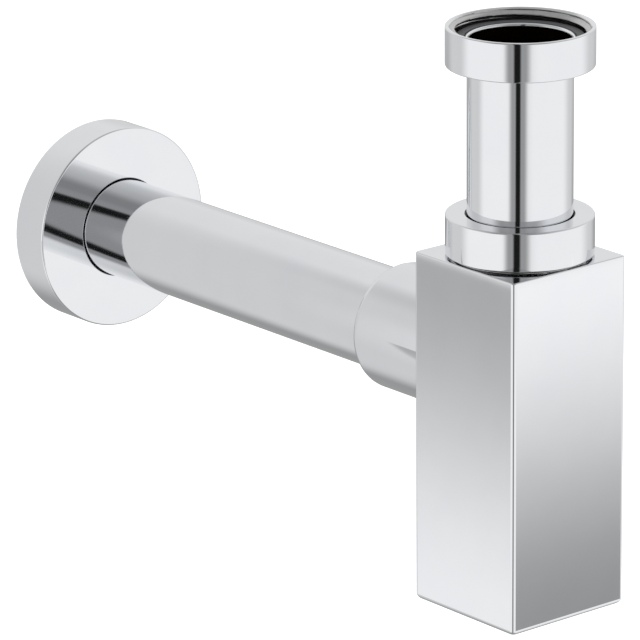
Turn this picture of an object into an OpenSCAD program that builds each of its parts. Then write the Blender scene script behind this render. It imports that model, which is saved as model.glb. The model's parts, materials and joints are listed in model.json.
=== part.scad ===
// Square bottle trap for a washbasin: telescopic inlet and outlet, chrome-plated brass.
// The origin is the centre of the waste seat, on the inlet axis. +Z goes up to the basin
// and +Y goes along the outlet tube to the wall. All sizes are in millimetres.

/* [Tubes] */
// Outside diameter of the inlet tube and the outlet tube
tube_d = 32; // [31:0.5:33]
// Wall of both tubes
tube_wall = 0.8; // [0.6:0.1:1]
// Length of the outlet tube
outlet_tube_l = 200; // [196:1:210]
// Water that the dip tube stands in below the outlet's overflow
seal_depth = 50; // [40:1:51]

/* [Union nuts] */
// Outside diameter of both nuts
nut_d = 45; // [44.5:0.5:48]
// Height of both nuts
nut_h = 12.1; // [12:0.1:13]
// Thickness of a nut's floor, round the tube
nut_floor = 2.5; // [2:0.1:2.6]
// Outside diameter of the 1 1/4 inch parallel pipe thread
thread_d = 41.91; // [41.5:0.01:42]
// Height of the waste nut's rim above the seat
nut_rise = 3.3; // [2.8:0.1:3.6]

/* [Waste seat] */
// Thickness of the flat washer at the seat
washer_t = 2.4; // [2:0.1:2.8]
// Diameter of the flange on the tube collar
collar_d = 38.4; // [37.5:0.1:38.6]
// Thickness of that flange
collar_t = 2; // [1.6:0.1:2.2]

/* [Body] */
// Width and depth of the square casing
body_w = 45; // [44:0.5:50]
// Height of the casing
body_h = 111; // [110:1:125]
// Wall of the casing
body_wall = 2; // [1.9:0.1:2.4]
// Distance from the waste seat down to the casing's top
seat_to_body = 67.3; // [62:0.1:75]
// Gap between the inlet nut and the casing's top
nut_gap = 0.65; // [0.4:0.05:1]
// Rounding of the casing's upright edges
upright_r = 1.2; // [0.8:0.1:2]
// Rounding of the casing's bottom edges
foot_r = 1.8; // [1:0.1:1.8]

/* [Outlet] */
// Distance from the casing's top down to the outlet axis
outlet_drop = 35.3; // [32:0.1:40]
// Outside diameter of the outlet socket
socket_d = 40; // [39.5:0.5:42]
// Length of the socket outside the casing
socket_l = 33.75; // [32:0.25:40]
// Rounding of the socket's mouth
shoulder_r = 3.5; // [2:0.1:3.5]

/* [Wall flange] */
// Distance from the inlet axis to the wall
wall_y = 209.3; // [205:0.1:215]
// Diameter of the wall flange
flange_d = 66.5; // [60:0.5:80]
// Depth of the wall flange
flange_h = 14; // [13:0.5:18]
// Sheet thickness of the wall flange
flange_wall = 1.5; // [1.2:0.1:2]

/* [Clean-out plug] */
// Outside diameter of the plug's 1/2 inch parallel pipe thread
plug_thread_d = 20.955; // [20.5:0.005:21.2]
// Diameter of the plug's head
plug_head_d = 27; // [26:0.5:28]
// Thickness of the plug's head
plug_head_t = 2.5; // [2:0.1:2.8]

/* [Hidden] */
$fn = 96;

chrome = [0.80, 0.81, 0.83];
nylon = [0.93, 0.92, 0.87];
grey_rubber = [0.42, 0.42, 0.43];
black_rubber = [0.10, 0.10, 0.10];

// Fits and small gaps
running = 0.045;      // radial clearance of a thread and of a guided tube
seated = 0.05;        // gap between a loose ring and what it lies on
tube_gap = 0.5;       // radial gap between a tube and a nut's floor
edge_break = 0.4;     // chamfer or small rounding on a turned edge
small_break = 0.3;    // the same on a thin ring or a tube's end
thread_chamfer = 0.6; // chamfer at the start of a male thread
past = 1;             // how far a cutting shape runs past what it cuts

// Tubes
tube_r = tube_d / 2;
bore_r = tube_r - tube_wall;

// Nuts
thread_r = thread_d / 2;
nut_edge_r = 0.6;     // rounding of a nut's closed end
relief_h = 1.5;       // height of the thread relief above the inlet nut's floor
relief_depth = 0.3;   // how much deeper than the thread a relief is

// Levels down the inlet, from the waste seat at 0
waste_floor_z = nut_rise - nut_h + nut_floor;
collar_low_z = -washer_t - collar_t;
collar_r = collar_d / 2;
lip_r = tube_r + 0.5;
washer_in_r = lip_r + 0.2;
washer_out_r = collar_r + 0.1;
lip_z = -0.2;
lip_round = 0.8;
tube_top_z = lip_z - 1.2;
body_top_z = -seat_to_body;
inlet_nut_low_z = body_top_z + nut_gap;
inlet_roof_z = inlet_nut_low_z + nut_h - nut_floor;
slip_t = 1.5;
slip_r = tube_r + 3.8;
seal_top_z = inlet_roof_z - slip_t - 2 * seated;
neck_top_z = seal_top_z - 0.95;
outlet_z = body_top_z - outlet_drop;
tube_low_z = outlet_z - bore_r - seal_depth;
body_low_z = body_top_z - body_h;

// Neck and its cone seat
neck_bore_r = tube_r + 0.6;
cone_r = tube_r + 3.3;
cone_h = cone_r - neck_bore_r;
cone_gap = 0.08;      // gap between the relaxed seal's cone and its seat
tip_gap = 0.4;        // height of the seal's thin end above the seat's small end
seal_r = tube_r + 3;
neck_spigot_r = tube_r + 2.5;
neck_low_z = body_top_z - 2.8;

// Casing and its plates
chamber_w = body_w - 2 * body_wall;
top_r = 0.5;          // rounding of the casing's top edges
inner_r = 0.8;        // rounding of the casing's inner uprights
top_plate_t = 2;
base_plate_t = 3;

// Outlet socket, seen along +Y
casing_y = body_w / 2;
socket_r = socket_d / 2;
socket_end_y = casing_y + socket_l;
socket_spigot_r = tube_r + 2.5;
socket_start_y = casing_y - body_wall - 1;
stop_y = casing_y + 4.2;
outlet_start_y = stop_y + 0.3;
o_ring_r = 1.1;       // section radius of the socket's O-rings
o_ring_centre_r = tube_r + 0.04 + o_ring_r;
groove_r = o_ring_centre_r + o_ring_r + 0.02;
groove_w = 3;
inner_groove_y = socket_end_y - 14.25;
outer_groove_y = socket_end_y - 7.25;

// Wall flange
flange_r = flange_d / 2;
flange_front_y = wall_y - flange_h;
flange_bore_r = tube_r + 0.35;
hub_r = tube_r + 3.8;
hub_l = 9;
hub_groove_r = groove_r + 0.02;
flange_groove_y = flange_front_y + 4.8;
flange_edge_r = 0.6;
flange_inner_r = 1;

// Clean-out plug
plug_thread_r = plug_thread_d / 2;
plug_head_r = plug_head_d / 2;
boss_spigot_r = plug_thread_r + 2;
boss_r = plug_thread_r + 3;
boss_round = 0.6;
boss_foot_z = body_low_z + base_plate_t;
boss_top_z = boss_foot_z + 2.5;
plug_washer_t = 1.5;
plug_washer_in_r = plug_thread_r + 0.4;
plug_washer_out_r = plug_head_r - 0.2;
plug_washer_low_z = body_low_z - seated - plug_washer_t;
plug_head_top_z = plug_washer_low_z - seated;
plug_head_low_z = plug_head_top_z - plug_head_t;
plug_end_z = plug_head_top_z + 6.9;
plug_head_round = 1;
plug_shank_wall = 2.5;
slot_w = 2.4;
slot_depth = 1.3;

// A rectangle of a turned profile: radii first, then heights along the axis
module band(r_in, r_out, low, high) {
    translate([r_in, low]) square([r_out - r_in, high - low]);
}

// What has to go to round a profile's outer corner; side points from the corner into the metal
module round_off(corner, r, side) {
    centre = corner + r * side;
    difference() {
        translate(centre - (r + 1) * [side.x > 0 ? 1 : 0, side.y > 0 ? 1 : 0]) square(r + 1);
        translate(centre) circle(r);
    }
}

// What has to go to chamfer a profile's corner
module chamfer(corner, c, side) {
    translate(corner) polygon([
        [side.x * c, -side.y], [side.x * c, 0], [0, side.y * c],
        [-side.x, side.y * c], [-side.x, -side.y]
    ]);
}

// A square with rounded corners, centred
module rounded_square(w, r) {
    difference() {
        square(w, center = true);
        for (sx = [-1, 1], sy = [-1, 1])
            round_off([sx, sy] * w / 2, r, [-sx, -sy]);
    }
}

// Turns a profile about the inlet axis
module turned() {
    rotate_extrude() children();
}

// Turns a profile about the outlet axis, with its heights along +Y
module turned_along_y() {
    translate([0, 0, outlet_z]) rotate([-90, 0, 0]) rotate_extrude() children();
}

// An O-ring of section radius r round a tube, at height z of a profile
module o_ring_section(centre_r, r, z) {
    translate([centre_r, z]) circle(r);
}

// The union nut: floor at 0, recess above it, then the thread up to the mouth at nut_h
module union_nut(recess_h) {
    turned() difference() {
        band(tube_r + tube_gap, nut_d / 2, 0, nut_h);
        band(0, thread_r + running, nut_floor, nut_h + past);
        band(0, thread_r + relief_depth, nut_floor, nut_floor + recess_h);
        chamfer([tube_r + tube_gap, 0], edge_break, [1, 1]);
        chamfer([thread_r + running, nut_h], edge_break, [1, -1]);
        round_off([nut_d / 2, 0], nut_edge_r, [-1, 1]);
        round_off([nut_d / 2, nut_h], edge_break, [-1, -1]);
    }
}

// Its recess holds the slip ring, the collar and the washer, so its thread starts at the seat
module waste_nut() {
    color(chrome) translate([0, 0, nut_rise - nut_h]) union_nut(-waste_floor_z);
}

// Nylon ring between the collar and the floor of the waste nut
module waste_slip_ring() {
    color(nylon) turned() difference() {
        band(tube_r + running, collar_r, waste_floor_z + seated, collar_low_z - seated);
        chamfer([collar_r, waste_floor_z + seated], small_break, [-1, 1]);
    }
}

// Flat seal round the collar's lip
module waste_washer() {
    color(grey_rubber) turned() difference() {
        band(washer_in_r, washer_out_r, -washer_t, 0);
        round_off([washer_out_r, 0], small_break, [-1, -1]);
        round_off([washer_in_r, 0], small_break, [1, -1]);
    }
}

// Turned ring brazed on the inlet tube: a flange with a rounded lip above it
module tube_collar() {
    color(chrome) turned() difference() {
        union() {
            band(bore_r, collar_r, collar_low_z, -washer_t);
            band(bore_r, lip_r, collar_low_z, lip_z);
        }
        band(0, tube_r, collar_low_z - past, tube_top_z);
        round_off([bore_r, lip_z], lip_round, [1, -1]);
        round_off([lip_r, lip_z], small_break, [-1, -1]);
        round_off([collar_r, -washer_t], small_break, [-1, -1]);
        chamfer([collar_r, collar_low_z], small_break, [-1, 1]);
    }
}

// Telescopic inlet tube, which goes on as the dip tube inside the body
module inlet_tube() {
    color(chrome) turned() difference() {
        band(bore_r, tube_r, tube_low_z, tube_top_z);
        chamfer([tube_r, tube_low_z], small_break, [-1, 1]);
    }
}

module inlet_nut() {
    color(chrome) translate([0, 0, inlet_nut_low_z + nut_h]) mirror([0, 0, 1])
        union_nut(relief_h);
}

// Nylon ring that stays under the roof of the inlet nut
module inlet_slip_ring() {
    color(nylon) turned() difference() {
        band(tube_r + running, slip_r, inlet_roof_z - seated - slip_t, inlet_roof_z - seated);
        chamfer([slip_r, inlet_roof_z - seated], small_break, [-1, -1]);
    }
}

// Rubber ring with a cone outside; it grips the tube when the nut presses it into the neck
module inlet_seal() {
    shoulder_z = neck_top_z - (cone_r - cone_gap - seal_r);
    tip_z = neck_top_z - cone_h + tip_gap;
    tip_r = cone_r - cone_gap - (neck_top_z - tip_z);
    color(black_rubber) turned() polygon([
        [tube_r + running, tip_z],
        [tip_r, tip_z],
        [seal_r, shoulder_z],
        [seal_r, seal_top_z - small_break],
        [seal_r - small_break, seal_top_z],
        [tube_r + running, seal_top_z]
    ]);
}

// Turned neck: male thread outside, cone seat inside, spigot through the top plate
module threaded_neck() {
    color(chrome) turned() difference() {
        union() {
            band(neck_bore_r, thread_r, body_top_z, neck_top_z);
            band(neck_bore_r, neck_spigot_r, neck_low_z, neck_top_z);
        }
        polygon([
            [0, neck_top_z - cone_h - neck_bore_r],
            [cone_r + past, neck_top_z + past],
            [0, neck_top_z + past]
        ]);
        chamfer([thread_r, neck_top_z], thread_chamfer, [-1, -1]);
        chamfer([neck_bore_r, neck_low_z], small_break, [1, 1]);
    }
}

module square_plate(low, thickness, hole_r) {
    translate([0, 0, low]) linear_extrude(thickness) difference() {
        rounded_square(chamber_w, inner_r);
        circle(hole_r);
    }
}

module top_plate() {
    color(chrome) square_plate(body_top_z - top_plate_t, top_plate_t, neck_spigot_r);
}

module base_plate() {
    color(chrome) square_plate(body_low_z, base_plate_t, boss_spigot_r);
}

// Side view of the casing: small rounding at the top, larger at the foot
module casing_side() {
    difference() {
        translate([-body_w / 2, body_low_z]) square([body_w, body_h]);
        for (s = [-1, 1]) {
            round_off([s * body_w / 2, body_low_z], foot_r, [-s, 1]);
            round_off([s * body_w / 2, body_top_z], top_r, [-s, -1]);
        }
    }
}

// Extrudes a side view through the casing
module through_casing() {
    rotate([90, 0, 0]) linear_extrude(body_w + 2 * past, center = true) children();
}

// Length of square tube with polished, rounded edges and a round hole for the outlet socket
module casing() {
    color(chrome) difference() {
        intersection() {
            translate([0, 0, body_low_z - past]) linear_extrude(body_h + 2 * past)
                rounded_square(body_w, upright_r);
            through_casing() casing_side();
            rotate([0, 0, 90]) through_casing() casing_side();
        }
        translate([0, 0, body_low_z - past]) linear_extrude(body_h + 2 * past)
            rounded_square(chamber_w, inner_r);
        translate([0, 0, outlet_z]) rotate([-90, 0, 0]) cylinder(h = body_w, r = socket_spigot_r);
    }
}

// Threaded ring brazed in the base plate
module plug_boss() {
    color(chrome) turned() difference() {
        union() {
            band(0, boss_spigot_r, body_low_z, boss_top_z);
            band(0, boss_r, boss_foot_z, boss_top_z);
        }
        band(0, plug_thread_r + running, body_low_z - past, boss_top_z + past);
        round_off([boss_r, boss_top_z], boss_round, [-1, -1]);
    }
}

module plug_washer() {
    color(black_rubber) turned()
        band(plug_washer_in_r, plug_washer_out_r, plug_washer_low_z, plug_washer_low_z + plug_washer_t);
}

// Clean-out plug: threaded shank, round head and a slot for a coin
module base_plug() {
    color(chrome) difference() {
        turned() difference() {
            union() {
                band(0, plug_head_r, plug_head_low_z, plug_head_top_z);
                band(0, plug_thread_r, plug_head_low_z, plug_end_z);
            }
            round_off([plug_head_r, plug_head_low_z], plug_head_round, [-1, 1]);
            round_off([plug_head_r, plug_head_top_z], small_break, [-1, -1]);
            chamfer([plug_thread_r, plug_end_z], thread_chamfer, [-1, -1]);
            band(0, plug_thread_r - plug_shank_wall, plug_head_top_z, plug_end_z + past);
        }
        translate([-plug_head_r - past, -slot_w / 2, plug_head_low_z - past])
            cube([plug_head_d + 2 * past, slot_w, slot_depth + past]);
    }
}

// Turned socket: spigot through the casing, tube stop, two O-ring grooves, rounded mouth
module outlet_socket() {
    color(chrome) turned_along_y() difference() {
        union() {
            band(bore_r, socket_spigot_r, socket_start_y, stop_y);
            band(bore_r, socket_r, casing_y, socket_end_y);
        }
        band(0, tube_r + running, stop_y, socket_end_y + past);
        for (y = [inner_groove_y, outer_groove_y])
            band(0, groove_r, y - groove_w / 2, y + groove_w / 2);
        round_off([socket_r, socket_end_y], shoulder_r, [-1, -1]);
        chamfer([bore_r, socket_start_y], edge_break, [1, 1]);
    }
}

module socket_o_ring_inner() {
    color(black_rubber) turned_along_y()
        o_ring_section(o_ring_centre_r, o_ring_r, inner_groove_y);
}

module socket_o_ring_outer() {
    color(black_rubber) turned_along_y()
        o_ring_section(o_ring_centre_r, o_ring_r, outer_groove_y);
}

module outlet_tube() {
    color(chrome) turned_along_y() difference() {
        band(bore_r, tube_r, outlet_start_y, outlet_start_y + outlet_tube_l);
        chamfer([tube_r, outlet_start_y], small_break, [-1, 1]);
        chamfer([tube_r, outlet_start_y + outlet_tube_l], small_break, [-1, -1]);
    }
}

module flange_o_ring() {
    color(black_rubber) turned_along_y()
        o_ring_section(o_ring_centre_r, o_ring_r, flange_groove_y);
}

// Hollow wall flange: face, rim and a hub with an O-ring groove, in one turned piece
module wall_flange() {
    hollow_front = flange_front_y + flange_wall;
    color(chrome) turned_along_y() difference() {
        union() {
            band(flange_bore_r, flange_r, flange_front_y, hollow_front);
            band(flange_r - flange_wall, flange_r, flange_front_y, wall_y);
            band(flange_bore_r, hub_r, flange_front_y, flange_front_y + hub_l);
            difference() {
                translate([flange_r - flange_wall - flange_inner_r, hollow_front])
                    square(flange_inner_r);
                translate([flange_r - flange_wall - flange_inner_r,
                           hollow_front + flange_inner_r])
                    circle(flange_inner_r);
            }
        }
        band(0, hub_groove_r, flange_groove_y - groove_w / 2, flange_groove_y + groove_w / 2);
        round_off([flange_r, flange_front_y], flange_edge_r, [-1, 1]);
        chamfer([flange_bore_r, flange_front_y], small_break, [1, 1]);
    }
}

waste_nut();
waste_slip_ring();
waste_washer();
tube_collar();
inlet_tube();
inlet_nut();
inlet_slip_ring();
inlet_seal();
threaded_neck();
top_plate();
casing();
base_plate();
plug_boss();
plug_washer();
base_plug();
outlet_socket();
socket_o_ring_inner();
socket_o_ring_outer();
outlet_tube();
flange_o_ring();
wall_flange();
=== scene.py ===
# %% [markdown]
# # A square bottle trap in chrome-plated brass
#
# Under a washbasin a trap holds a little water, so that no air comes back from the drain. This one
# has a square housing, a tube from the basin that goes down into it, and a tube to the wall.
# Everything that shows is polished and chrome plated, so the lesson is mostly about two things:
# turned forms with true edges, and what a mirror has to look at.
#
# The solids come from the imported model. They are the measure for every piece here.

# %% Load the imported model
import json
import math

import bpy
from mathutils import Matrix, Vector

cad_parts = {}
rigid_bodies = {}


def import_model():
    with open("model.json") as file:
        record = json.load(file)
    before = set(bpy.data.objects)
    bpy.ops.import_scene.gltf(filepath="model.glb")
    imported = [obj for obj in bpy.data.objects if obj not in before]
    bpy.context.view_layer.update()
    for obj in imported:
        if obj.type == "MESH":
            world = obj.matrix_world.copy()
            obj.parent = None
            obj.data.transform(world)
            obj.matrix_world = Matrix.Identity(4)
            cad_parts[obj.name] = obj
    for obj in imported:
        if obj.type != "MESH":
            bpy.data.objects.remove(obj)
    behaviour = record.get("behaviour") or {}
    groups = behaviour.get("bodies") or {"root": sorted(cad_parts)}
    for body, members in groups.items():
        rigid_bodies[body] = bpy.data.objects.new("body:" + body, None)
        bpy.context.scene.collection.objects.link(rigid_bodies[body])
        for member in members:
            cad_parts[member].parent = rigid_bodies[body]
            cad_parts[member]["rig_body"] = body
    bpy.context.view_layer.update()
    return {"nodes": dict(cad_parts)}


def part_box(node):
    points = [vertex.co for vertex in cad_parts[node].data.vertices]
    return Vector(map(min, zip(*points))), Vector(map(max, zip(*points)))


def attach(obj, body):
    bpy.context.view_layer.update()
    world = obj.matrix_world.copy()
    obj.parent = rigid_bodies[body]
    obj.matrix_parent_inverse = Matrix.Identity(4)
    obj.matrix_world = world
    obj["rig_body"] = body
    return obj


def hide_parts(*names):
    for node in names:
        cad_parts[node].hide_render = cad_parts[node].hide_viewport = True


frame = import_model()

# %% [markdown]
# ## Sizes from the solids
#
# Lengths are written in millimetres, as on a drawing, and turned to metres where a mesh is made.
# A piece takes its place from its own solid: `span` reads how far that reaches along one axis.

# %% Read lengths from the solids
MM = 0.001
X, Y, Z = 0, 1, 2


def span(node_name, axis):
    low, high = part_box(node_name)
    return low[axis] / MM, high[axis] / MM


tube_r = span("inlet_tube", X)[1]
nut_r = span("waste_nut", X)[1]
outlet_z = sum(span("outlet_tube", Z)) / 2
casing_half = span("casing", X)[1]
print(f"tube radius {tube_r:.2f}, nut radius {nut_r:.2f}, outlet axis at {outlet_z:.2f} mm")

# %% [markdown]
# ## Outlines with rounded corners
#
# No edge of a polished part is sharp: the buffing wheel takes a few tenths off it, and that
# narrow round is what draws the bright or dark line along every edge of a mirror. So an outline is
# a list of corners, each with its radius, and the helper puts the arcs in. An arc keeps the
# reflection continuous, which a chamfer doesn't.

# %% Round the corners of an outline
ARC_STEP = math.radians(11.25)


def arc_points(before, corner, after, radius):
    """The points that replace a corner with a round."""
    back = (Vector(before) - Vector(corner)).normalized()
    ahead = (Vector(after) - Vector(corner)).normalized()
    opening = back.angle(ahead)
    if radius == 0 or opening > math.pi - 1e-4:
        return [tuple(corner)]
    centre = Vector(corner) + (back + ahead).normalized() * radius / math.sin(opening / 2)
    start = Vector(corner) + back * radius / math.tan(opening / 2) - centre
    turn = -math.copysign(math.pi - opening, back.cross(ahead))
    count = max(3, math.ceil(abs(turn) / ARC_STEP))
    turned = [Matrix.Rotation(turn * i / count, 2) @ start + centre for i in range(count + 1)]
    return [tuple(point) for point in turned]


def outline(corners):
    """A closed outline from (radius from the axis, height, rounding) corners."""
    points = []
    for i, (r, h, rounding) in enumerate(corners):
        before = corners[i - 1][:2]
        after = corners[(i + 1) % len(corners)][:2]
        points += arc_points(before, (r, h), after, rounding)
    return points


print("a 0.4 mm round has", len(arc_points((0, 0), (5, 0), (5, 5), 0.4)), "points")

# %% [markdown]
# ## Screw threads
#
# Both union nuts have the 1 1/4 inch parallel pipe thread: 11 turns to the inch, so a pitch of
# 2.309 mm, with rounded crests and roots 1.48 mm deep. The plug has the 1/2 inch one. A thread
# could be a bump texture, but the mouth of the top nut is open to the camera, so it is cut in the
# mesh: the wall's radius follows a wave that climbs one pitch in each turn. A nut and its neck use
# the same wave, so they mesh, and they still do after the nut has turned along its joint.

# %% Depth of a thread
INCH = 25.4
UNION_PITCH = INCH / 11
PLUG_PITCH = INCH / 14
DEPTH_OF_PITCH = 0.6403    # depth of a Whitworth form, for a pitch of 1
ROWS_PER_TURN = 14


def smooth(t):
    t = min(max(t, 0), 1)
    return t * t * (3 - 2 * t)


def thread_depth(h, angle, thread):
    """How far the crest stands off the plain wall at this height and angle."""
    pitch = thread["pitch"]
    ridge = 0.5 - 0.5 * math.cos(2 * math.pi * h / pitch - angle)
    fade_in = smooth((h - thread["low"]) / thread["fade"])
    fade_out = smooth((thread["high"] - h) / thread["fade"])
    return DEPTH_OF_PITCH * pitch * ridge * fade_in * fade_out


def thread_rows(thread, upward=True):
    """Corners along a threaded wall, close enough together to carry the wave."""
    length = thread["high"] - thread["low"]
    count = math.ceil(length / thread["pitch"] * ROWS_PER_TURN)
    heights = [thread["low"] + length * i / count for i in range(count + 1)]
    return [(thread["r"], h, 0) for h in (heights if upward else reversed(heights))]


print(f"union thread: pitch {UNION_PITCH:.3f} mm, depth {DEPTH_OF_PITCH * UNION_PITCH:.2f} mm")

# %% [markdown]
# ## Turning on a lathe
#
# Nearly every piece was turned, so one function spins an outline round an axis. Another way is the
# Screw modifier, but a mesh that is made directly can carry the thread and a second finish for
# the walls that were never polished. The Weighted Normal modifier then lets the large flat and
# straight faces set the normals, so mirrors stay flat right up to their rounded edges.

# %% Spin an outline into a piece
COLUMNS = 240
SHARP = math.radians(32)


def add_piece(name, vertices, faces, rough_faces=()):
    """A smooth-shaded object from points in millimetres."""
    mesh = bpy.data.meshes.new(name)
    mesh.from_pydata([Vector(v) * MM for v in vertices], [], faces)
    mesh.validate()
    mesh.shade_smooth()
    piece = bpy.data.objects.new(name, mesh)
    bpy.context.scene.collection.objects.link(piece)
    for i in rough_faces:
        mesh.polygons[i].material_index = 1
    return piece


def true_normals(piece):
    """Sharp corners stay sharp, and large faces set the normals."""
    piece.data.set_sharp_from_angle(angle=SHARP)
    modifier = piece.modifiers.new("normals", "WEIGHTED_NORMAL")
    modifier.keep_sharp = True
    modifier.weight = 100


def lathe(name, points, along=Z, thread=None, unpolished=None):
    """Spins (radius, height) points; unpolished(r, h) tells which walls get the second finish."""
    vertices = []
    rings = []
    for r, h in points:
        ring = []
        for column in range(COLUMNS if r > 0 else 1):
            angle = 2 * math.pi * column / COLUMNS
            cut = 0
            if thread and abs(r - thread["r"]) < 1e-6 and thread["low"] <= h <= thread["high"]:
                cut = thread_depth(h, angle, thread)
            side, front = (r - cut) * math.cos(angle), (r - cut) * math.sin(angle)
            ring.append(len(vertices))
            vertices.append((side, front, h) if along == Z else (side, h, outlet_z - front))
        rings.append(ring if r > 0 else ring * COLUMNS)
    faces = []
    rough_faces = []
    for i, ring in enumerate(rings):
        after = rings[(i + 1) % len(rings)]
        middle = (Vector(points[i]) + Vector(points[(i + 1) % len(points)])) / 2
        if len(set(ring)) == 1 and len(set(after)) == 1:
            continue
        for column in range(COLUMNS):
            beside = (column + 1) % COLUMNS
            corners = (ring[column], ring[beside], after[beside], after[column])
            if unpolished and unpolished(*middle):
                rough_faces.append(len(faces))
            faces.append(tuple(dict.fromkeys(corners)))
    piece = add_piece(name, vertices, faces, rough_faces)
    true_normals(piece)
    return piece


# %% [markdown]
# ## Colours and nodes
#
# Colours are written as sRGB hex values, as in a paint program, and turned to linear light once.
# One small function adds a node with its settings and its links, so a material reads from top to
# bottom like a recipe.

# %% Helpers for materials


def colour(hex_value):
    """Linear RGBA from an sRGB hex string."""
    parts = [int(hex_value[i:i + 2], 16) / 255 for i in (1, 3, 5)]
    linear = [p / 12.92 if p <= 0.04045 else ((p + 0.055) / 1.055) ** 2.4 for p in parts]
    return (*linear, 1)


def add_node(tree, kind, inputs=None, **settings):
    """A node with its settings; an input is a value or another node's output."""
    made = tree.nodes.new(kind)
    for key, value in settings.items():
        setattr(made, key, value)
    for name, value in (inputs or {}).items():
        if isinstance(value, bpy.types.NodeSocket):
            tree.links.new(value, made.inputs[name])
        else:
            made.inputs[name].default_value = value
    return made


def start_material(name):
    """A material with only its output, and the place on the piece in metres."""
    material = bpy.data.materials.new(name)
    material.use_nodes = True
    tree = material.node_tree
    tree.nodes.clear()
    place = add_node(tree, "ShaderNodeTexCoord").outputs["Object"]
    return material, tree, place


def end_material(tree, shader):
    add_node(tree, "ShaderNodeOutputMaterial", {"Surface": shader.outputs["BSDF"]})


print("chrome white", [round(c, 3) for c in colour("#E6E7EA")[:3]])

# %% [markdown]
# ## Bright chrome
#
# Brass is polished, plated with nickel and then with a breath of chromium. It is a mirror with a
# slightly cool tone. Two things keep it from looking computed: a very shallow waviness left by the
# polishing wheel, a few millimetres long and a few millionths of a metre high, and a haze of fine
# buffing marks that makes some patches a little softer. Both are noise at the real size.

# %% Chrome plate
WHEEL_WAVE = 4.0           # length of the polishing waves, mm
WHEEL_HEIGHT = 0.0012      # their height, mm
BUFF_PATCH = 14.0          # size of the hazier patches, mm
BUFF_MARK = 0.5            # width of a buffing mark, drawn coarser than the real 0.05, mm


def chrome_plate():
    material, tree, place = start_material("bright_chrome_on_polished_brass")
    patches = add_node(tree, "ShaderNodeTexNoise",
                       {"Vector": place, "Scale": 1 / (BUFF_PATCH * MM), "Detail": 3})
    tone = add_node(tree, "ShaderNodeMixRGB", {
        "Fac": patches.outputs["Fac"], "Color1": colour("#E3E5E9"), "Color2": colour("#EAEBEC")})
    haze = add_node(tree, "ShaderNodeMapRange", {
        "Value": patches.outputs["Fac"], "To Min": 0.03, "To Max": 0.06})
    wave = add_node(tree, "ShaderNodeTexNoise",
                    {"Vector": place, "Scale": 1 / (WHEEL_WAVE * MM), "Detail": 0})
    mark = add_node(tree, "ShaderNodeTexNoise",
                    {"Vector": place, "Scale": 1 / (BUFF_MARK * MM), "Detail": 1})
    marked = add_node(tree, "ShaderNodeBump", {
        "Height": mark.outputs["Fac"], "Strength": 1, "Distance": WHEEL_HEIGHT * MM / 20})
    waved = add_node(tree, "ShaderNodeBump", {
        "Height": wave.outputs["Fac"], "Strength": 1, "Distance": WHEEL_HEIGHT * MM,
        "Normal": marked.outputs["Normal"]})
    shader = add_node(tree, "ShaderNodeBsdfPrincipled", {
        "Base Color": tone.outputs["Color"], "Metallic": 1, "Roughness": haze.outputs["Result"],
        "Normal": waved.outputs["Normal"]})
    end_material(tree, shader)
    return material


bright_chrome = chrome_plate()
print("material", bright_chrome.name)

# %% [markdown]
# ## Turned and plated walls that nobody polished
#
# The thread, the recess below it and the inside of the flange go from the lathe straight into the plating bath.
# The cutting tool leaves fine rings about a tenth of a millimetre apart, and they spread the reflection into a
# soft grey. Noise that is stretched round the axis would need a seam, so the rings are a wave along the height.

# %% Turned nickel and drawn brass
TOOL_FEED = 0.25           # distance between two tool marks, mm, drawn coarser than the real 0.1


def turned_nickel():
    material, tree, place = start_material("turned_brass_nickel_plated")
    rings = add_node(tree, "ShaderNodeTexWave", {
        "Vector": place, "Scale": 1 / (TOOL_FEED * MM) / (2 * math.pi), "Distortion": 0.6,
        "Detail": 1}, wave_type="BANDS", bands_direction="Z")
    grain = add_node(tree, "ShaderNodeTexNoise",
                     {"Vector": place, "Scale": 1 / (1.5 * MM), "Detail": 3})
    tone = add_node(tree, "ShaderNodeMixRGB", {
        "Fac": grain.outputs["Fac"], "Color1": colour("#B9B8B6"), "Color2": colour("#CFCFD0")})
    soft = add_node(tree, "ShaderNodeMapRange", {
        "Value": grain.outputs["Fac"], "To Min": 0.16, "To Max": 0.3})
    relief = add_node(tree, "ShaderNodeBump", {
        "Height": rings.outputs["Fac"], "Strength": 0.4, "Distance": 0.02 * MM})
    shader = add_node(tree, "ShaderNodeBsdfPrincipled", {
        "Base Color": tone.outputs["Color"], "Metallic": 1, "Roughness": soft.outputs["Result"],
        "Normal": relief.outputs["Normal"]})
    end_material(tree, shader)
    return material


def drawn_brass():
    """The bore of a drawn tube: bare brass gone brown, coloured darker still as painted shade for the unlit
    inside, smooth along its length.
    """
    material, tree, place = start_material("bore_brass_tarnish_and_painted_shade")
    stain = add_node(tree, "ShaderNodeTexNoise",
                     {"Vector": place, "Scale": 1 / (9 * MM), "Detail": 4})
    # Painted shade as well as tarnish: both browns are darker than bare brass, so the inside of the tube stays
    # dark as if unlit.
    tone = add_node(tree, "ShaderNodeMixRGB", {
        "Fac": stain.outputs["Fac"], "Color1": colour("#5A4630"), "Color2": colour("#8C7448")})
    soft = add_node(tree, "ShaderNodeMapRange", {
        "Value": stain.outputs["Fac"], "To Min": 0.12, "To Max": 0.26})
    relief = add_node(tree, "ShaderNodeBump", {
        "Height": stain.outputs["Fac"], "Strength": 0.3, "Distance": 0.02 * MM})
    shader = add_node(tree, "ShaderNodeBsdfPrincipled", {
        "Base Color": tone.outputs["Color"], "Metallic": 1, "Roughness": soft.outputs["Result"],
        "Normal": relief.outputs["Normal"]})
    end_material(tree, shader)
    return material


nickel_walls = turned_nickel()
bore_tarnish_and_painted_shade = drawn_brass()
print("materials", nickel_walls.name, bore_tarnish_and_painted_shade.name)

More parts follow.
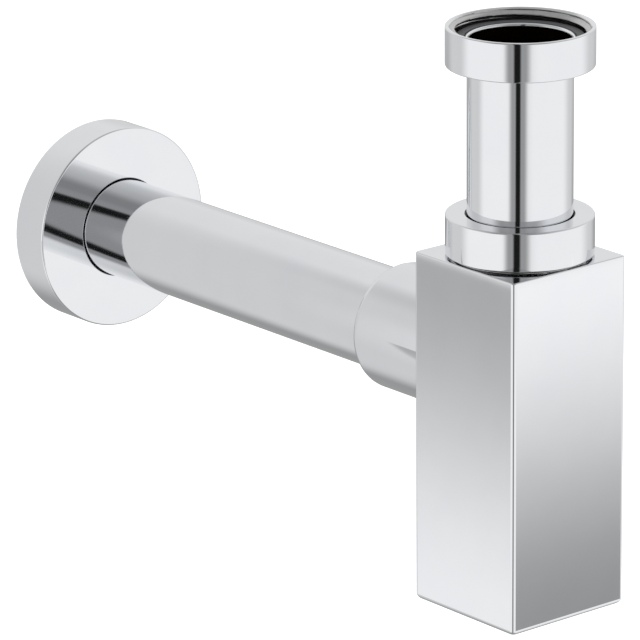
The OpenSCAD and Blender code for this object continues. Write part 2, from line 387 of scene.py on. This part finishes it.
# %% [markdown]
# ## Rubber and nylon
#
# The flat washer on the seat is moulded grey rubber, the O-rings and the cone seal are black nitrile rubber, and
# the slip rings are natural nylon, a waxy off-white. All are moulded, so they have a fine even
# grain from the mould and no gloss. Their IOR is left at 1.5, which suits all three.

# %% Rubber and nylon


def moulded(name, dark, light, roughness, grain_mm, depth_mm):
    """A moulded soft material: an even grain and a slow change of tone."""
    material, tree, place = start_material(name)
    cloud = add_node(tree, "ShaderNodeTexNoise",
                     {"Vector": place, "Scale": 1 / (6 * MM), "Detail": 4})
    grain = add_node(tree, "ShaderNodeTexNoise",
                     {"Vector": place, "Scale": 1 / (grain_mm * MM), "Detail": 2})
    tone = add_node(tree, "ShaderNodeMixRGB", {
        "Fac": cloud.outputs["Fac"], "Color1": colour(dark), "Color2": colour(light)})
    soft = add_node(tree, "ShaderNodeMapRange", {
        "Value": grain.outputs["Fac"], "To Min": roughness - 0.06, "To Max": roughness + 0.06})
    relief = add_node(tree, "ShaderNodeBump", {
        "Height": grain.outputs["Fac"], "Strength": 0.5, "Distance": depth_mm * MM})
    shader = add_node(tree, "ShaderNodeBsdfPrincipled", {
        "Base Color": tone.outputs["Color"], "Roughness": soft.outputs["Result"],
        "Normal": relief.outputs["Normal"]})
    end_material(tree, shader)
    return material


grey_rubber = moulded("moulded_grey_rubber", "#5F5F61", "#77777A", 0.5, 0.3, 0.02)
black_rubber = moulded("moulded_nitrile_rubber", "#161616", "#222223", 0.45, 0.25, 0.02)
nylon = moulded("moulded_natural_nylon", "#DAD6C6", "#ECE8DB", 0.42, 0.4, 0.01)
print("materials", grey_rubber.name, black_rubber.name, nylon.name)

# %% [markdown]
# ## Putting a piece in its place
#
# Every new piece rides on the body of the solid that it stands for, and is made with the solid's name and a
# `_look` ending. `dress` puts it on that body, hides the solid, and gives the piece its finishes: the first for
# what is polished, the second for what isn't.

# %% Dress a solid with its piece


def dress(piece, node_name, slot, *materials):
    for material in materials:
        piece.data.materials.append(material)
    body = frame["nodes"][node_name]["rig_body"]
    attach(piece, body)
    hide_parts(node_name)
    print(f"{piece.name}: {len(piece.data.polygons)} faces, rides on {body}")
    return piece


# %% [markdown]
# ## The two union nuts
#
# Both nuts are one part number: a cup with a floor that has room for the tube, a recess, and the
# thread up to the mouth. The top one stands on its floor, the lower one hangs upside down. The
# outline is written once, from the floor at 0 to the mouth, and mirrored for the lower nut. Its
# recess is as high as what it holds: a slip ring, the collar and the washer in the top nut.

# %% Union nuts
NUT_FLOOR = 2.5
THREAD_WALL_R = 21.0
RECESS_R = 21.255
nut_h = span("waste_nut", Z)[1] - span("waste_nut", Z)[0]
nut_bore_r = tube_r + 0.5


def union_nut(name, floor_z, direction, recess_top):
    """floor_z is the nut's closed face; direction is 1 for a mouth above it and -1 below."""
    mouth = floor_z + direction * nut_h
    inner_floor = floor_z + direction * NUT_FLOOR
    thread_ends = sorted((recess_top, mouth - direction * 0.45))
    thread = {"r": THREAD_WALL_R, "low": thread_ends[0], "high": thread_ends[1], "fade": 0.7,
              "pitch": UNION_PITCH}
    corners = [
        (nut_bore_r, floor_z, 0.3),
        (nut_r, floor_z, 0.6),
        (nut_r, mouth, 0.4),
        (THREAD_WALL_R + 0.45, mouth, 0.15),
        *thread_rows(thread, upward=direction < 0),
        (RECESS_R, recess_top, 0),
        (RECESS_R, inner_floor, 0.2),
        (nut_bore_r, inner_floor, 0.15),
    ]

    def unpolished(r, h):
        inside = (h - inner_floor) * direction > -0.2 and r < RECESS_R + 0.1
        return inside and abs(h - mouth) > 0.3

    return lathe(name, outline(corners), thread=thread, unpolished=unpolished)


waste_nut = union_nut("waste_nut_look", span("waste_nut", Z)[0], 1, 0.0)
dress(waste_nut, "waste_nut", "chrome_plate", bright_chrome, nickel_walls)
inlet_roof = span("inlet_nut", Z)[1] - NUT_FLOOR
inlet_nut = union_nut("inlet_nut_look", span("inlet_nut", Z)[1], -1, inlet_roof - 1.5)
dress(inlet_nut, "inlet_nut", "chrome_plate", bright_chrome, nickel_walls)

# %% [markdown]
# ## The inlet tube and its collar
#
# The tube is drawn brass, 32 mm outside with a 0.8 mm wall. A turned collar is brazed on its upper
# end: the nut pulls on its flange, and the flat washer sits round its lip. The lip's inner edge is
# well rounded, and that is the bright ring that shows in the mouth of the nut.

# %% Inlet tube, collar, washer
TUBE_WALL = 0.8
bore_r = tube_r - TUBE_WALL


def in_bore(r, h):
    return r < bore_r + 0.05


tube_low, tube_high = span("inlet_tube", Z)
inlet_tube = lathe("inlet_tube_look", outline([
    (bore_r, tube_low, 0.15), (tube_r, tube_low, 0.3),
    (tube_r, tube_high, 0), (bore_r, tube_high, 0)]), unpolished=in_bore)
dress(inlet_tube, "inlet_tube", "chrome_plate", bright_chrome, bore_tarnish_and_painted_shade)

washer_low, washer_high = span("waste_washer", Z)
collar_low, collar_high = span("tube_collar", Z)
collar_r = span("tube_collar", X)[1]
lip_r = tube_r + 0.5
collar = lathe("tube_collar_look", outline([
    (tube_r, collar_low, 0.2), (collar_r, collar_low, 0.3), (collar_r, washer_low, 0.3),
    (lip_r, washer_low, 0.1), (lip_r, collar_high, 0.3), (bore_r, collar_high, 0.8),
    (bore_r, tube_high, 0), (tube_r, tube_high, 0)]))
dress(collar, "tube_collar", "chrome_plate", bright_chrome)

washer_r = span("waste_washer", X)[1]
washer = lathe("waste_washer_look", outline([
    (lip_r + 0.2, washer_low, 0.1), (washer_r, washer_low, 0.15),
    (washer_r, washer_high, 0.3), (lip_r + 0.2, washer_high, 0.3)]))
dress(washer, "waste_washer", "grey_rubber", grey_rubber)

# %% [markdown]
# ## Slip rings and the cone seal
#
# The nuts have to turn while the tube stays still, so each bears on a nylon ring. Under the lower
# one is the rubber ring that makes the tube telescopic: it has a cone outside, and the nut
# presses it down into the cone in the neck until it grips the tube.

# %% Slip rings and seal
RING_GAP = 0.045


def flat_ring(name, node_name, slot, material, edge=0.25):
    low, high = span(node_name, Z)
    outer = span(node_name, X)[1]
    ring = lathe(name, outline([
        (tube_r + RING_GAP, low, edge / 2), (outer, low, edge),
        (outer, high, edge), (tube_r + RING_GAP, high, edge / 2)]))
    return dress(ring, node_name, slot, material)


flat_ring("waste_slip_ring_look", "waste_slip_ring", "nylon", nylon)
flat_ring("inlet_slip_ring_look", "inlet_slip_ring", "nylon", nylon)

seal_low, seal_high = span("inlet_seal", Z)
seal_r = span("inlet_seal", X)[1]
neck_low, neck_high = span("threaded_neck", Z)
CONE_R = tube_r + 3.3
CONE_GAP = 0.08
seal = lathe("inlet_seal_look", outline([
    (tube_r + RING_GAP, seal_low, 0.05),
    (CONE_R - CONE_GAP - (neck_high - seal_low), seal_low, 0.05),
    (seal_r, neck_high - (CONE_R - CONE_GAP - seal_r), 0.1),
    (seal_r, seal_high, 0.3),
    (tube_r + RING_GAP, seal_high, 0.1)]))
dress(seal, "inlet_seal", "black_rubber", black_rubber)

# %% [markdown]
# ## The threaded neck
#
# A turned ring with the male thread outside and the cone seat in its mouth. Its spigot goes
# through the top plate and is brazed there. It shows only when the lower nut is unscrewed.

# %% Neck
MALE_THREAD_R = 20.955
NECK_BORE_R = tube_r + 0.6
SPIGOT_R = tube_r + 2.5
casing_low, casing_high = span("casing", Z)
neck_thread = {"r": MALE_THREAD_R, "low": casing_high + 0.1, "high": neck_high - 0.45,
               "fade": 0.35, "pitch": UNION_PITCH}
neck = lathe("threaded_neck_look", outline([
    (NECK_BORE_R, neck_low, 0.2), (SPIGOT_R, neck_low, 0.2), (SPIGOT_R, casing_high, 0),
    (MALE_THREAD_R, casing_high, 0), *thread_rows(neck_thread),
    (MALE_THREAD_R - 0.6, neck_high, 0.1), (CONE_R, neck_high, 0.1),
    (NECK_BORE_R, neck_high - (CONE_R - NECK_BORE_R), 0.1)]),
    thread=neck_thread, unpolished=lambda r, h: True)
dress(neck, "threaded_neck", "chrome_plate", bright_chrome, nickel_walls)

# %% [markdown]
# ## The casing
#
# A length of square brass tube with a 2 mm wall. It isn't turned, so it is lofted: rings of points
# go up the outside, over the top edge, down the inside and back under the foot. The foot has
# the largest round, the upright edges a smaller one, and the four faces are flat mirrors. The
# hole for the outlet socket is cut with a Boolean, as the real one is bored.

# %% Casing
UPRIGHT_R = 1.2
FOOT_R = 1.8
TOP_R = 0.5
INNER_R = 0.8
CORNER_STEPS = 8
chamber_half = span("top_plate", X)[1]


def square_ring(half, corner_r, z):
    """Points round a square with rounded corners, at one height."""
    points = []
    for quarter in range(4):
        centre = Vector((1, 1)) * (half - corner_r)
        for step in range(CORNER_STEPS + 1):
            angle = math.radians(90) * step / CORNER_STEPS
            corner = centre + corner_r * Vector((math.cos(angle), math.sin(angle)))
            turned = Matrix.Rotation(math.radians(90) * quarter, 2) @ corner
            points.append((turned.x, turned.y, z))
    return points


def edge_rings(z, radius, inward, count=8):
    """Rings of a rounded edge, from the upright face to the flat one at height z."""
    rings = []
    for step in range(count + 1):
        angle = math.radians(90) * step / count
        inset = radius * (1 - math.cos(angle))
        rings.append(square_ring(casing_half - inset, UPRIGHT_R,
                                 z + inward * radius * (1 - math.sin(angle))))
    return rings


rings = [*reversed(edge_rings(casing_low, FOOT_R, 1)), *edge_rings(casing_high, TOP_R, -1),
         square_ring(chamber_half, INNER_R, casing_high),
         square_ring(chamber_half, INNER_R, casing_low)]
ring_size = len(rings[0])
casing_faces = []
for i in range(len(rings)):
    below, above = i * ring_size, (i + 1) % len(rings) * ring_size
    for k in range(ring_size):
        beside = (k + 1) % ring_size
        casing_faces.append((below + k, below + beside, above + beside, above + k))
casing = add_piece("casing_look", [p for ring in rings for p in ring], casing_faces)

# %% [markdown]
# The cutter is a turned rod through the wall side only. The Boolean is baked into the mesh, so
# that the piece stays a plain mesh, and then the normals are set as on the turned pieces.

# %% Bore the hole for the socket


def bake_modifiers(piece):
    """Turns what the modifiers make into the piece's own mesh."""
    seen = piece.evaluated_get(bpy.context.evaluated_depsgraph_get())
    mesh = bpy.data.meshes.new_from_object(seen)
    piece.modifiers.clear()
    piece.data = mesh


def cut_away(piece, cutter):
    """Takes the cutter's space out of the piece and removes the cutter."""
    modifier = piece.modifiers.new("cut", "BOOLEAN")
    modifier.operation = "DIFFERENCE"
    modifier.object = cutter
    modifier.solver = "EXACT"
    bake_modifiers(piece)
    bpy.data.objects.remove(cutter)
    piece.data.shade_smooth()


cutter_start = casing_half - 5
cutter = lathe("socket_cutter", [(0, cutter_start), (SPIGOT_R, cutter_start),
                                 (SPIGOT_R, casing_half + 3), (0, casing_half + 3)], along=Y)
cut_away(casing, cutter)
true_normals(casing)
dress(casing, "casing", "chrome_plate", bright_chrome)

# %% [markdown]
# ## The outlet socket
#
# Turned from bar and brazed into the wall side of the casing. Its mouth has a large round that
# fades into the tube. Inside are the stop that the tube ends at and the grooves of two O-rings.

# %% Socket
socket_start, socket_end = span("outlet_socket", Y)
socket_r = span("outlet_socket", X)[1]
SLIDE_R = tube_r + RING_GAP
GROOVE_R = tube_r + 2.26
GROOVE_HALF = 1.5
SHOULDER_R = 3.5
stop_y = casing_half + 4.2
groove_centres = [sum(span(ring_node, Y)) / 2
                  for ring_node in ("socket_o_ring_inner", "socket_o_ring_outer")]


def groove(centre, r, depth_r):
    """Corners of an O-ring groove, passed from the high side to the low side."""
    top, bottom = centre + GROOVE_HALF, centre - GROOVE_HALF
    return [(r, top, 0.1), (depth_r, top, 0.2), (depth_r, bottom, 0.2), (r, bottom, 0.1)]


socket = lathe("outlet_socket_look", outline([
    (bore_r, socket_start, 0.3), (SPIGOT_R, socket_start, 0.2), (SPIGOT_R, casing_half, 0),
    (socket_r, casing_half, 0), (socket_r, socket_end, SHOULDER_R), (SLIDE_R, socket_end, 0.3),
    *groove(groove_centres[1], SLIDE_R, GROOVE_R), *groove(groove_centres[0], SLIDE_R, GROOVE_R),
    (SLIDE_R, stop_y, 0.1), (bore_r, stop_y, 0.1)]),
    along=Y, unpolished=lambda r, h: r < SLIDE_R + 0.01 and h < socket_end - 0.5)
dress(socket, "outlet_socket", "chrome_plate", bright_chrome, nickel_walls)

# %% [markdown]
# ## O-rings
#
# Plain rings of round section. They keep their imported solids, which are true tori, and get the
# rubber finish. The same goes for the two square plates, which are flat and brazed in flush.

# %% Finish the solids that stay


def refinish(node_name, material):
    solid = frame["nodes"][node_name]
    solid.data.materials.clear()
    solid.data.materials.append(material)
    print(node_name, "keeps its solid and gets", material.name)


for ring_node in ("socket_o_ring_inner", "socket_o_ring_outer", "flange_o_ring"):
    refinish(ring_node, black_rubber)
for plate_node in ("top_plate", "base_plate"):
    refinish(plate_node, bright_chrome)

# %% [markdown]
# ## The outlet tube
#
# The same drawn tube as the inlet, cut to 200 mm. The socket holds one end and the other goes
# through the flange into the wall. Its ends are only broken with a file.

# %% Outlet tube
outlet_start, outlet_end = span("outlet_tube", Y)
outlet_tube = lathe("outlet_tube_look", outline([
    (bore_r, outlet_start, 0.15), (tube_r, outlet_start, 0.3),
    (tube_r, outlet_end, 0.3), (bore_r, outlet_end, 0.15)]), along=Y, unpolished=in_bore)
dress(outlet_tube, "outlet_tube", "chrome_plate", bright_chrome, bore_tarnish_and_painted_shade)

# %% [markdown]
# ## The wall flange
#
# A deep round cover that hides the hole in the wall. The face and the rim are polished; behind
# them it is hollow, with a hub that holds an O-ring, so the flange stays where it is pushed. The
# small round between face and rim, and the one at the bore, draw fine bright lines.

# %% Wall flange
flange_front, wall_y = span("wall_flange", Y)
flange_r = span("wall_flange", X)[1]
FLANGE_WALL = 1.5
HUB_R = tube_r + 3.8
HUB_L = 9
FLANGE_BORE_R = tube_r + 0.35
hollow_front = flange_front + FLANGE_WALL
flange_groove = sum(span("flange_o_ring", Y)) / 2
flange = lathe("wall_flange_look", outline([
    (FLANGE_BORE_R, flange_front, 0.3), (flange_r, flange_front, 0.6),
    (flange_r, wall_y, 0.25), (flange_r - FLANGE_WALL, wall_y, 0.25),
    (flange_r - FLANGE_WALL, hollow_front, 1), (HUB_R, hollow_front, 0.5),
    (HUB_R, flange_front + HUB_L, 0.4), (FLANGE_BORE_R, flange_front + HUB_L, 0.3),
    *groove(flange_groove, FLANGE_BORE_R, GROOVE_R + 0.02)]),
    along=Y, unpolished=lambda r, h: h > flange_front + 1 and r < flange_r - 1)
dress(flange, "wall_flange", "chrome_plate", bright_chrome, nickel_walls)

# %% [markdown]
# ## The clean-out plug
#
# Under the body a slotted plug closes the sump: a threaded ring brazed in the base plate, a flat
# rubber washer, and the plug with its hollow shank. The slot is for a coin.

# %% Boss, washer and plug
PLUG_THREAD_R = span("plug_washer", X)[0]
boss_low, boss_high = span("plug_boss", Z)
BOSS_BORE_R = 10.5225
BOSS_SPIGOT_R = 12.4775
boss_r = span("plug_boss", X)[1]
base_inner = span("base_plate", Z)[1]
boss_thread = {"r": BOSS_BORE_R + 0.9, "low": boss_low + 0.4, "high": boss_high - 0.4,
               "fade": 0.5, "pitch": PLUG_PITCH}
boss = lathe("plug_boss_look", outline([
    (BOSS_BORE_R, boss_low, 0.2), (BOSS_SPIGOT_R, boss_low, 0), (BOSS_SPIGOT_R, base_inner, 0),
    (boss_r, base_inner, 0), (boss_r, boss_high, 0.6), (BOSS_BORE_R, boss_high, 0.3)]),
    unpolished=lambda r, h: h > boss_low + 0.1)
dress(boss, "plug_boss", "chrome_plate", bright_chrome, nickel_walls)

plug_washer_low, plug_washer_high = span("plug_washer", Z)
plug_washer_r = span("plug_washer", X)[1]
plug_washer = lathe("plug_washer_look", outline([
    (10.8775, plug_washer_low, 0.1), (plug_washer_r, plug_washer_low, 0.25),
    (plug_washer_r, plug_washer_high, 0.25), (10.8775, plug_washer_high, 0.1)]))
dress(plug_washer, "plug_washer", "black_rubber", black_rubber)

HEAD_T = 2.5
SHANK_R = 10.4775
SHANK_BORE_R = SHANK_R - 2.5
SLOT_W = 2.4
SLOT_DEPTH = 1.3
head_low, shank_end = span("base_plug", Z)
head_r = span("base_plug", X)[1]
head_top = head_low + HEAD_T
shank_thread = {"r": SHANK_R, "low": head_top + 0.3, "high": shank_end - 0.5, "fade": 0.4,
                "pitch": PLUG_PITCH}
plug = lathe("base_plug_look", outline([
    (0, head_low, 0), (head_r, head_low, 1), (head_r, head_top, 0.3), (SHANK_R, head_top, 0.1),
    *thread_rows(shank_thread), (SHANK_R - 0.6, shank_end, 0.1), (SHANK_BORE_R, shank_end, 0.2),
    (SHANK_BORE_R, head_top, 0.3), (0, head_top, 0)]),
    thread=shank_thread, unpolished=lambda r, h: h > head_top + 0.05)
slot_x, slot_y, slot_top = head_r + 2, SLOT_W / 2, head_low + SLOT_DEPTH
slot_cutter = add_piece("slot_cutter", [
    (sx * slot_x, sy * slot_y, z) for z in (head_low - 2, slot_top)
    for sx, sy in ((-1, -1), (1, -1), (1, 1), (-1, 1))],
    [(3, 2, 1, 0), (4, 5, 6, 7), (0, 1, 5, 4), (1, 2, 6, 5), (2, 3, 7, 6), (3, 0, 4, 7)])
plug.modifiers.clear()
cut_away(plug, slot_cutter)
true_normals(plug)
dress(plug, "base_plug", "chrome_plate", bright_chrome, nickel_walls)

# %% [markdown]
# ## The camera
#
# The photograph was taken with a long lens from the left front, a little above the trap. The
# distance, the angles and the lens were found by laying measured edges of the solids over it.

# %% Camera
CAMERA_AZIMUTH = math.radians(-39.569)
CAMERA_HEIGHT = math.radians(17.506)
CAMERA_ROLL = math.radians(-0.483)
CAMERA_DISTANCE = 1638.8
AIM = Vector((0, 0, -76.7))
AIM_RIGHT = -60.06
AIM_UP = -10.55
FOCAL_LENGTH = 307.01

back = Vector((math.sin(CAMERA_AZIMUTH) * math.cos(CAMERA_HEIGHT),
               -math.cos(CAMERA_AZIMUTH) * math.cos(CAMERA_HEIGHT), math.sin(CAMERA_HEIGHT)))
right = Vector((math.cos(CAMERA_AZIMUTH), math.sin(CAMERA_AZIMUTH), 0))
up = back.cross(right)
rolled_right = math.cos(CAMERA_ROLL) * right + math.sin(CAMERA_ROLL) * up
rolled_up = math.cos(CAMERA_ROLL) * up - math.sin(CAMERA_ROLL) * right
target = AIM + AIM_RIGHT * right + AIM_UP * up

camera_data = bpy.data.cameras.new("camera")
camera_data.lens = FOCAL_LENGTH
camera_data.sensor_width = 36
camera_data.clip_start = 0.05
camera_data.clip_end = 50
camera = bpy.data.objects.new("camera", camera_data)
bpy.context.scene.collection.objects.link(camera)
turned = Matrix((rolled_right, rolled_up, back)).transposed().to_4x4()
camera.matrix_world = Matrix.Translation((target + back * CAMERA_DISTANCE) * MM) @ turned
bpy.context.scene.camera = camera
print("camera at", [round(c, 3) for c in camera.location])

# %% [markdown]
# ## The light tent
#
# Chrome has no look of its own: it shows what stands round it. Photographers put such a thing in a
# tent of white cloth, light the cloth from outside, and leave a dark slit for the lens. Here the
# tent is a ball round the trap. A glowing ball is easier to tune than many lamps, and it has no
# noise. Mirrors see it and the camera doesn't.
#
# The cloth has one level all over, and a few large soft patches are laid over it: a light on each
# side of the camera, a high one opposite, a dim ceiling and ground, and the slit with the shade
# beside it. Levels are linear, with 1 for white. Angles are in degrees: azimuth 0 is the camera's
# side and + is to its right.

# %% Patches of the tent
CLOTH_LEVEL = 0.6
FADING_SHARE = 0.5         # the outer share of a patch that fades into what is below it

# Azimuth and elevation of the middle, half width, half height, level
PATCHES = {
    "ceiling": (0, 90, 360, 60, 0.4),
    "ground": (0, -90, 360, 50, 0.3),
    "left light": (-50, -15, 50, 50, 0.85),
    "right light": (60, -15, 60, 50, 0.85),
    "far light above": (180, 35, 70, 30, 0.7),
    "far shade below": (180, -35, 60, 40, 0.3),
    "unlit cloth over the lens": (0, 45, 60, 40, 0.25),
    "shade beside the lens": (0, -10, 20, 90, 0.3),
    "lens slit": (0, -10, 6, 90, 0.01),
}


def patch_share(distance, half_size):
    """1 in the inner part of a patch, falling softly to 0 at its edge."""
    return smooth((half_size - distance) / (FADING_SHARE * half_size))


def tent_level(azimuth, elevation):
    """The level of the cloth in one direction, with the patches laid over it in turn."""
    level = CLOTH_LEVEL
    for middle, height, half_width, half_height, patch_level in PATCHES.values():
        aside = abs((azimuth - middle + 180) % 360 - 180)
        share = patch_share(aside, half_width) * patch_share(abs(elevation - height), half_height)
        level += (patch_level - level) * share
    return level


print(f"tent level: left light {tent_level(-50, 0):.2f}, lens slit {tent_level(0, 0):.2f}")

# %% [markdown]
# The cloth is one emission material that reads its level, and how far it covers, from the mesh.
# The levels are written as the chrome shows them, and the strength makes up for the sixth part
# that chrome swallows.

# %% Lit cloth
CHROME_REFLECTS = 0.83

cloth = bpy.data.materials.new("lit_tent_cloth")
cloth.use_nodes = True
cloth_tree = cloth.node_tree
cloth_tree.nodes.clear()
painted = add_node(cloth_tree, "ShaderNodeAttribute", attribute_name="tone")
glow = add_node(cloth_tree, "ShaderNodeEmission",
                {"Color": painted.outputs["Color"], "Strength": 1 / CHROME_REFLECTS})
open_air = add_node(cloth_tree, "ShaderNodeBsdfTransparent")
cover = add_node(cloth_tree, "ShaderNodeMixShader", {"Fac": painted.outputs["Alpha"]})
cloth_tree.links.new(open_air.outputs["BSDF"], cover.inputs[1])
cloth_tree.links.new(glow.outputs["Emission"], cover.inputs[2])
add_node(cloth_tree, "ShaderNodeOutputMaterial", {"Surface": cover.outputs["Shader"]})


def hang_cloth(name, rows):
    """A cloth from rows of (point in mm, level, cover); the camera sees through it."""
    width = len(rows[0])
    vertices = [point for row in rows for point, level, covers in row]
    faces = []
    for i in range(len(rows) - 1):
        for k in range(width - 1):
            corner = i * width + k
            faces.append((corner, corner + 1, corner + width + 1, corner + width))
    piece = add_piece(name, vertices, faces)
    attribute = piece.data.attributes.new("tone", "FLOAT_COLOR", "POINT")
    spots = [spot for row in rows for spot in row]
    for item, (point, level, covers) in zip(attribute.data, spots):
        item.color = (level, level, level, covers)
    piece.data.materials.append(cloth)
    piece.visible_camera = False
    piece.visible_shadow = False
    print(f"{name}: {len(faces)} faces")
    return piece


# %% [markdown]
# The ball has its middle between the housing and the wall. It is flat at the bottom, where it
# stops just above the floor.

# %% Tent
TENT_R = 500
TENT_CENTRE = Vector((0, 80, -100))
TENT_FLOOR = -596
FRONT = math.atan2(back.y, back.x)

tent_rows = []
for elevation in range(-90, 91, 2):
    row = []
    level = math.radians(elevation)
    for azimuth in range(-180, 181, 1):
        angle = FRONT + math.radians(azimuth)
        flat = Vector((math.cos(angle), math.sin(angle), 0)) * math.cos(level)
        point = TENT_CENTRE + TENT_R * (flat + Vector((0, 0, math.sin(level))))
        point.z = max(point.z, TENT_FLOOR)
        row.append((point, tent_level(azimuth, elevation), 1))
    tent_rows.append(row)
hang_cloth("light_tent", tent_rows)

# %% [markdown]
# ## Two cards for the housing
#
# A flat mirror shows one small part of the tent, enlarged, so it would look dull. Each visible
# face of the housing gets a card of its own with a long gradient, hung where only that face looks.
# The left face runs from grey at its top to near white at its foot, and the right one the other
# way, and that difference is what makes the near edge stand out.

# %% Gradient cards
CARD_DISTANCE = 130        # from a face to its card, mm
CARD_MARGIN = 9
CARD_FADE = 8
TOP_LINE = 1.6             # height of the light line along a face's top, mm

eye = camera.location / MM


def card(name, face_normal, top_level, foot_level):
    """A card parallel to one face, as large as the camera sees it mirrored, with a soft edge."""
    along = Vector((-face_normal.y, face_normal.x, 0))
    face = face_normal * casing_half
    far = (eye - face).dot(face_normal)
    mirrored_eye = eye - 2 * far * face_normal
    height = casing_high - casing_low
    across, down = 40, 60
    side_overlap, foot_overlap = CARD_MARGIN / casing_half, CARD_MARGIN / height
    rows = []
    for i in range(down + 1):
        fall = (1 + foot_overlap) * i / down
        row = []
        for k in range(across + 1):
            side = (1 + side_overlap) * (2 * k / across - 1)
            on_face = face + along * side * casing_half + Vector((0, 0, casing_high - fall * height))
            point = on_face + (on_face - mirrored_eye) * CARD_DISTANCE / far
            edge = min((1 + side_overlap - abs(side)) * casing_half,
                       (1 + foot_overlap - fall) * height)
            level = top_level + (foot_level - top_level) * smooth(fall)
            covers = smooth(edge / CARD_FADE) * smooth(fall * height / TOP_LINE)
            row.append((point, level, covers))
        rows.append(row)
    return hang_cloth(name, rows)


card("left_card", Vector((-1, 0, 0)), top_level=0.4, foot_level=0.85)
card("right_card", Vector((0, -1, 0)), top_level=0.9, foot_level=0.3)

# %% [markdown]
# ## Floor and background
#
# The photograph has a pure white ground and no table in sight, because the trap is made to hang.
# So the pale floor is well below it. Camera, mirror and glass rays see floor and sky at a
# strength of 1, which is white, and the lamps don't have to be turned up for it.

# %% Floor and sky
FLOOR_Z = -620


def sees_background(tree):
    """1 for rays of the camera, of mirrors and through glass."""
    path = add_node(tree, "ShaderNodeLightPath")
    first = add_node(tree, "ShaderNodeMath", {
        0: path.outputs["Is Camera Ray"], 1: path.outputs["Is Glossy Ray"]}, operation="MAXIMUM")
    both = add_node(tree, "ShaderNodeMath", {
        0: first.outputs["Value"], 1: path.outputs["Is Transmission Ray"]}, operation="MAXIMUM")
    return both.outputs["Value"]


floor = add_piece("floor", [(-20000, -20000, FLOOR_Z), (20000, -20000, FLOOR_Z),
                            (20000, 20000, FLOOR_Z), (-20000, 20000, FLOOR_Z)], [(0, 1, 2, 3)])
floor_material = bpy.data.materials.new("pale_floor")
floor_material.use_nodes = True
floor_tree = floor_material.node_tree
floor_tree.nodes.clear()
lit = add_node(floor_tree, "ShaderNodeBsdfDiffuse", {"Color": colour("#E8E8E8")})
white = add_node(floor_tree, "ShaderNodeEmission", {"Color": (1, 1, 1, 1), "Strength": 0.75})
seen = add_node(floor_tree, "ShaderNodeMixShader", {"Fac": sees_background(floor_tree)})
both = add_node(floor_tree, "ShaderNodeAddShader")
floor_tree.links.new(lit.outputs["BSDF"], both.inputs[0])
floor_tree.links.new(white.outputs["Emission"], both.inputs[1])
floor_tree.links.new(lit.outputs["BSDF"], seen.inputs[1])
floor_tree.links.new(both.outputs["Shader"], seen.inputs[2])
add_node(floor_tree, "ShaderNodeOutputMaterial", {"Surface": seen.outputs["Shader"]})
floor.data.materials.append(floor_material)

world = bpy.data.worlds.new("soft_white_studio")
world.use_nodes = True
bpy.context.scene.world = world
world_tree = world.node_tree
world_tree.nodes.clear()
level = add_node(world_tree, "ShaderNodeMapRange",
                 {"Value": sees_background(world_tree), "To Min": 0.7, "To Max": 1.0})
sky = add_node(world_tree, "ShaderNodeBackground",
               {"Color": (1, 1, 1, 1), "Strength": level.outputs["Result"]})
add_node(world_tree, "ShaderNodeOutputWorld", {"Surface": sky.outputs["Background"]})

# %% [markdown]
# ## Finish
#
# The view transform is set to Standard, so that a colour renders as it is written.

# %% View settings
bpy.context.scene.view_settings.view_transform = "Standard"
